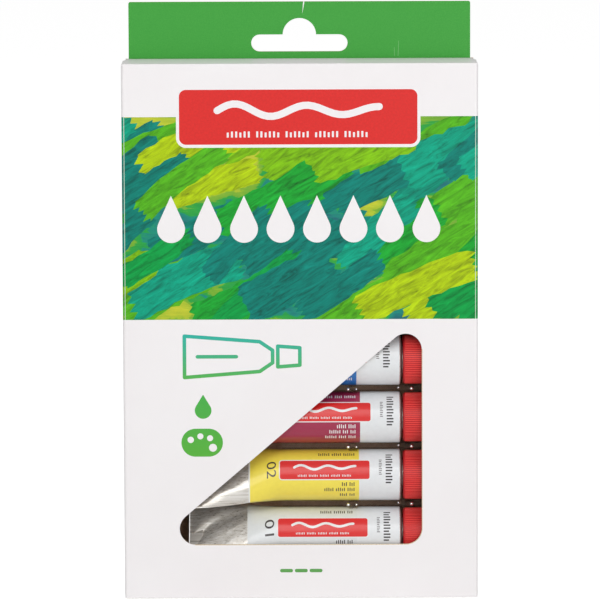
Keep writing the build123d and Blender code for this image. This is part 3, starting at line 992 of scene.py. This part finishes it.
def tube(inks, number, name):
    axis_z = axis_height(number)
    build = Build(f"tube_{number}_pressed")
    place = tube_place(axis_z, number)
    label_x = LABEL_X + 0.65 * PRINT_SHIFTS[number - 1]
    bare_end(build, place, inks["aluminium"], label_x)
    rolled_fold(build, axis_z, inks["aluminium"], inks["edge_glint"])
    label(build, place, inks, number, name, label_x)
    shoulder_and_neck(build, axis_z, inks["aluminium"])
    finish_piece(build.object(), "carton", "tube_aluminium", f"tube_{number}_body")


# ---- caps
def cap_core(name, material):
    """The cap without its ribs, turned about the X axis through the origin."""
    radius = CAP_RADIUS - CAP_RIB_DEPTH
    bore, bore_depth = NECK_RADIUS + 0.06, 9.0
    end = CAP_LENGTH
    half = math.sqrt(0.5)
    profile = ((bore_depth, bore, 0, -1), (0.0, bore, 0, -1), (0.0, bore, -1, 0), (0.0, radius - 0.2, -1, 0),
               (0.2, radius, -half, half), (0.5, radius, 0, 1), (end - 0.9, radius, 0, 1),
               (end - 0.35, radius - 0.16, 0.35, 0.94), (end - 0.08, radius - 0.42, half, half),
               (end, radius - 0.75, 1, 0), (end, radius - 1.6, 1, 0), (end - 0.15, radius - 1.8, 1, 0),
               (end - 0.15, 0.01, 1, 0))
    build = Build(name)
    build.turned(profile, (0, 0, 0), 96, material)
    return build.mesh()


def cap_rib(material):
    """One fine rib along the cap, standing on the core at the top of the circle."""
    build = Build("cap rib")
    base = CAP_RADIUS - CAP_RIB_DEPTH - 0.02
    half_width = math.pi * CAP_RADIUS / CAP_RIBS * 0.5
    rows = []
    for x, rise in ((0.45, 0.0), (0.75, 1.0), (CAP_LENGTH - 1.2, 1.0), (CAP_LENGTH - 0.75, 0.0)):
        row = []
        for y, z in arc_points(0, 0, 1, 180, 0, 4):
            row.append(((x, half_width * y, base + (CAP_RIB_DEPTH + 0.01) * rise * z), (0, y, z)))
        rows.append(row)
    build.grid(rows, material)
    return build.object()


def rib_tree(rib, material):
    """Geometry nodes: the core joined with Count ribs turned evenly about the X axis."""
    tree = bpy.data.node_groups.new("Ribs round a cap", "GeometryNodeTree")

    def add_socket(name, kind, side="INPUT"):
        return tree.interface.new_socket(name, in_out=side, socket_type=f"NodeSocket{kind}")

    def node(kind, *links, **settings):
        return add_node(tree, kind, links, **settings)
    add_socket("Geometry", "Geometry")
    count, start = add_socket("Count", "Int"), add_socket("Start Angle", "Float")
    add_socket("Geometry", "Geometry", "OUTPUT")
    given = node("NodeGroupInput")
    points = node("GeometryNodePoints", ("Count", given, "Count"))
    step = node("Math", (1, given, "Count"), operation="DIVIDE", sockets={0: 2 * math.pi})
    angle = node("Math", (0, node("GeometryNodeInputIndex"), 0), (1, step, 0),
                 (2, given, "Start Angle"), operation="MULTIPLY_ADD")
    turn = node("CombineXYZ", ("X", angle, 0))
    part = node("GeometryNodeObjectInfo", sockets={"Object": rib})
    spread = node("GeometryNodeInstanceOnPoints", ("Points", points, "Points"),
                  ("Instance", part, "Geometry"), ("Rotation", turn, 0))
    join = node("GeometryNodeJoinGeometry", (0, given, "Geometry"), (0, spread, 0))
    real = node("GeometryNodeRealizeInstances", (0, join, 0))
    paint = node("GeometryNodeSetMaterial", ("Geometry", real, 0), sockets={"Material": material})
    node("NodeGroupOutput", (0, paint, 0))
    return tree, count.identifier, start.identifier


def caps(material):
    """One ribbed cap for each tube, each turned by its own amount."""
    rib = cap_rib(material)
    tree, count, start = rib_tree(rib, material)
    for number in range(1, TUBES + 1):
        name = f"tube_{number}_ribbed_cap"
        cap = link_object(name, cap_core(name, material))
        modifier = cap.modifiers.new("Ribs", "NODES")
        modifier.node_group = tree
        modifier[count] = CAP_RIBS
        modifier[start] = CAP_TURN_STEP * number
        bpy.context.view_layer.update()
        made = bpy.data.meshes.new_from_object(cap.evaluated_get(bpy.context.evaluated_depsgraph_get()))
        cap.modifiers.clear()
        made.transform(Matrix.Translation(Vector((CAP_X, TUBE_Y, axis_height(number))) * MM))
        cap.data = made
        finish_piece(cap, f"tube_{number}_cap", "cap_red", f"tube_{number}_cap")
    bpy.data.objects.remove(rib)


# ---- carried-over pieces
def repaint(node, material):
    materials = frame["nodes"][node].data.materials
    materials.clear()
    materials.append(material)


def tray_buttons(material):
    """Rounded bosses where the tray's nubs and rests stand between the tubes."""
    build = Build("tray_buttons")
    dome = [(-sunk, out) for out, sunk in arc_points(0, 0, 1, 2, 90, 5)]
    for gap in range(TUBES - 1):
        for x, y, reach in BOSSES:
            build.turned([(reach * a, reach * r, a, r) for a, r in dome], (x, y, axis_height(gap + 1.5)),
                         16, material, axis=1)
    piece = build.object()
    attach(piece, "carton")


def carried_over(inks):
    """CAD pieces whose shape is right get the finished materials."""
    for end in ("top", "bottom"):
        for panel in ("lid", "tuck_flap", "dust_flap_left", "dust_flap_right"):
            repaint(f"{end}_{panel}", inks["white"])
    repaint("tray", tray_plastic())
    tray_buttons(button_plastic())
    for number, name in enumerate(PAINTS, start=1):
        repaint(f"tube_{number}_paint", inks[f"paint_{name}"])


# ---- stage
def lit_and_seen(owner, out_kind, lit, seen):
    """Camera rays meet the shader seen, all others the shader lit."""
    rays = add_node(owner, "LightPath")
    choose = add_node(owner, "MixShader", [(0, rays, "Is Camera Ray"), (1, lit, 0), (2, seen, 0)])
    add_node(owner, out_kind, [(0, choose, 0)])


def empty_tree(owner):
    owner.use_nodes = True
    owner.node_tree.nodes.clear()
    return owner


def floor():
    """A plain pale floor that the camera sees as nearly white."""
    material = empty_tree(bpy.data.materials.new("floor"))
    glow = add_node(material, "Emission", sockets={"Strength": 0.62})
    matte = add_node(material, "BsdfDiffuse", sockets={"Color": grey(0.85)})
    both = add_node(material, "AddShader", [(0, glow, 0), (1, matte, 0)])
    lit_and_seen(material, "OutputMaterial", matte, both)
    mesh = bpy.data.meshes.new("floor")
    reach, drop = 6.0, 0.0002
    mesh.from_pydata([(x, y, 0) for x, y in box(-reach, -reach, reach, reach)], [], [(0, 1, 2, 3)])
    mesh.materials.append(material)
    plane = link_object("floor", mesh)
    plane.location.z = -drop


def world():
    """Soft surroundings, pure white where the camera looks past the object."""
    studio = empty_tree(bpy.data.worlds.new("studio"))
    bpy.context.scene.world = studio
    lit, seen = (add_node(studio, "Background", sockets={"Color": grey(1), "Strength": strength})
                 for strength in (0.42, 1.0))
    lit_and_seen(studio, "OutputWorld", lit, seen)


def aim(thing, place, direction):
    thing.location = place
    thing.rotation_mode = "QUATERNION"
    thing.rotation_quaternion = direction.to_track_quat("-Z", "Y")


def area_light(name, place, width, height, power):
    """A soft lamp, in metres and watts, turned to the middle of the box."""
    lamp = bpy.data.lights.new(name, "AREA")
    lamp.shape = "RECTANGLE"
    lamp.size, lamp.size_y, lamp.energy = width, height, power
    middle = Vector((0, 0, 0.09))
    aim(link_object(name, lamp), place, middle - Vector(place))


def lights():
    area_light("front key", (-0.5, -1.5, 0.9), width=1.2, height=1.0, power=9.3)
    area_light("front fill", (0.7, -1.35, 0.3), width=0.9, height=0.55, power=6.5)
    area_light("top", (0.0, 0.1, 1.2), width=1.0, height=0.8, power=1.5)


def camera():
    """A long lens in front of the box, which looks down on it a little."""
    lens = bpy.data.cameras.new("camera")
    lens.lens, lens.sensor_width = 325, 36
    lens.clip_start, lens.clip_end = 0.1, 20
    target, distance = Vector((-0.0001, -0.010, 0.0936)), 1.677
    lift, roll = math.radians(7.5), math.radians(-0.21)
    back = Vector((0, -math.cos(lift), math.sin(lift)))
    thing = link_object("camera", lens)
    aim(thing, target + back * distance, -back)
    thing.rotation_quaternion @= Quaternion((0, 0, 1), roll)
    bpy.context.scene.camera = thing


def all_inks():
    inks = {
        "white": board_white(), "green": board_green(), "raw": board_raw(), "edge": board_edge(),
        "brushwork": paint_print(), "aluminium": aluminium(), "edge_glint": edge_glint(),
        "red": ink("badge red", 223, 36, 32),
        # pale green of the fold lines: partly cracked ink, partly a painted highlight
        "crease": ink("crease", 206, 228, 206),
        "scuff": ink("scuff", 130, 196, 124),
        "small": ink("small green", 96, 164, 84),
        "teal_green": ink_gradient("icon teal", ICON_FOOT, ICON_FOOT + ICON_HEIGHT,
                                   srgb(84, 180, 76), srgb(40, 180, 164)),
        "leaf": ink_gradient("icon green", PALETTE_LOW, DROP_HIGH, srgb(88, 178, 58), srgb(70, 176, 74)),
        "print_white": label_ink("print white", 236, 236, 236),
        "print_ground": label_ink("label ground", 232, 234, 236),
        "print_red": label_ink("print red", 224, 32, 30),
        "print_dark": label_ink("print dark", 58, 52, 54),
        "print_grey": label_ink("print grey", 120, 116, 118),
    }
    for step, colour in enumerate(STROKE_COLOURS):
        inks[f"stroke_{step}"] = stroke_paint(f"brushed paint {step + 1}", colour)
    for name, colour in PAINTS.items():
        inks[f"paint_{name}"] = label_ink(f"paint {name}", *colour)
    return inks


def main():
    inks = all_inks()
    carton_sleeve(inks)
    header_front(inks)
    for number, name in enumerate(PAINTS, start=1):
        tube(inks, number, name)
    caps(cap_plastic())
    carried_over(inks)
    floor()
    world()
    lights()
    camera()
    bpy.context.scene.view_settings.view_transform = "Standard"


main()
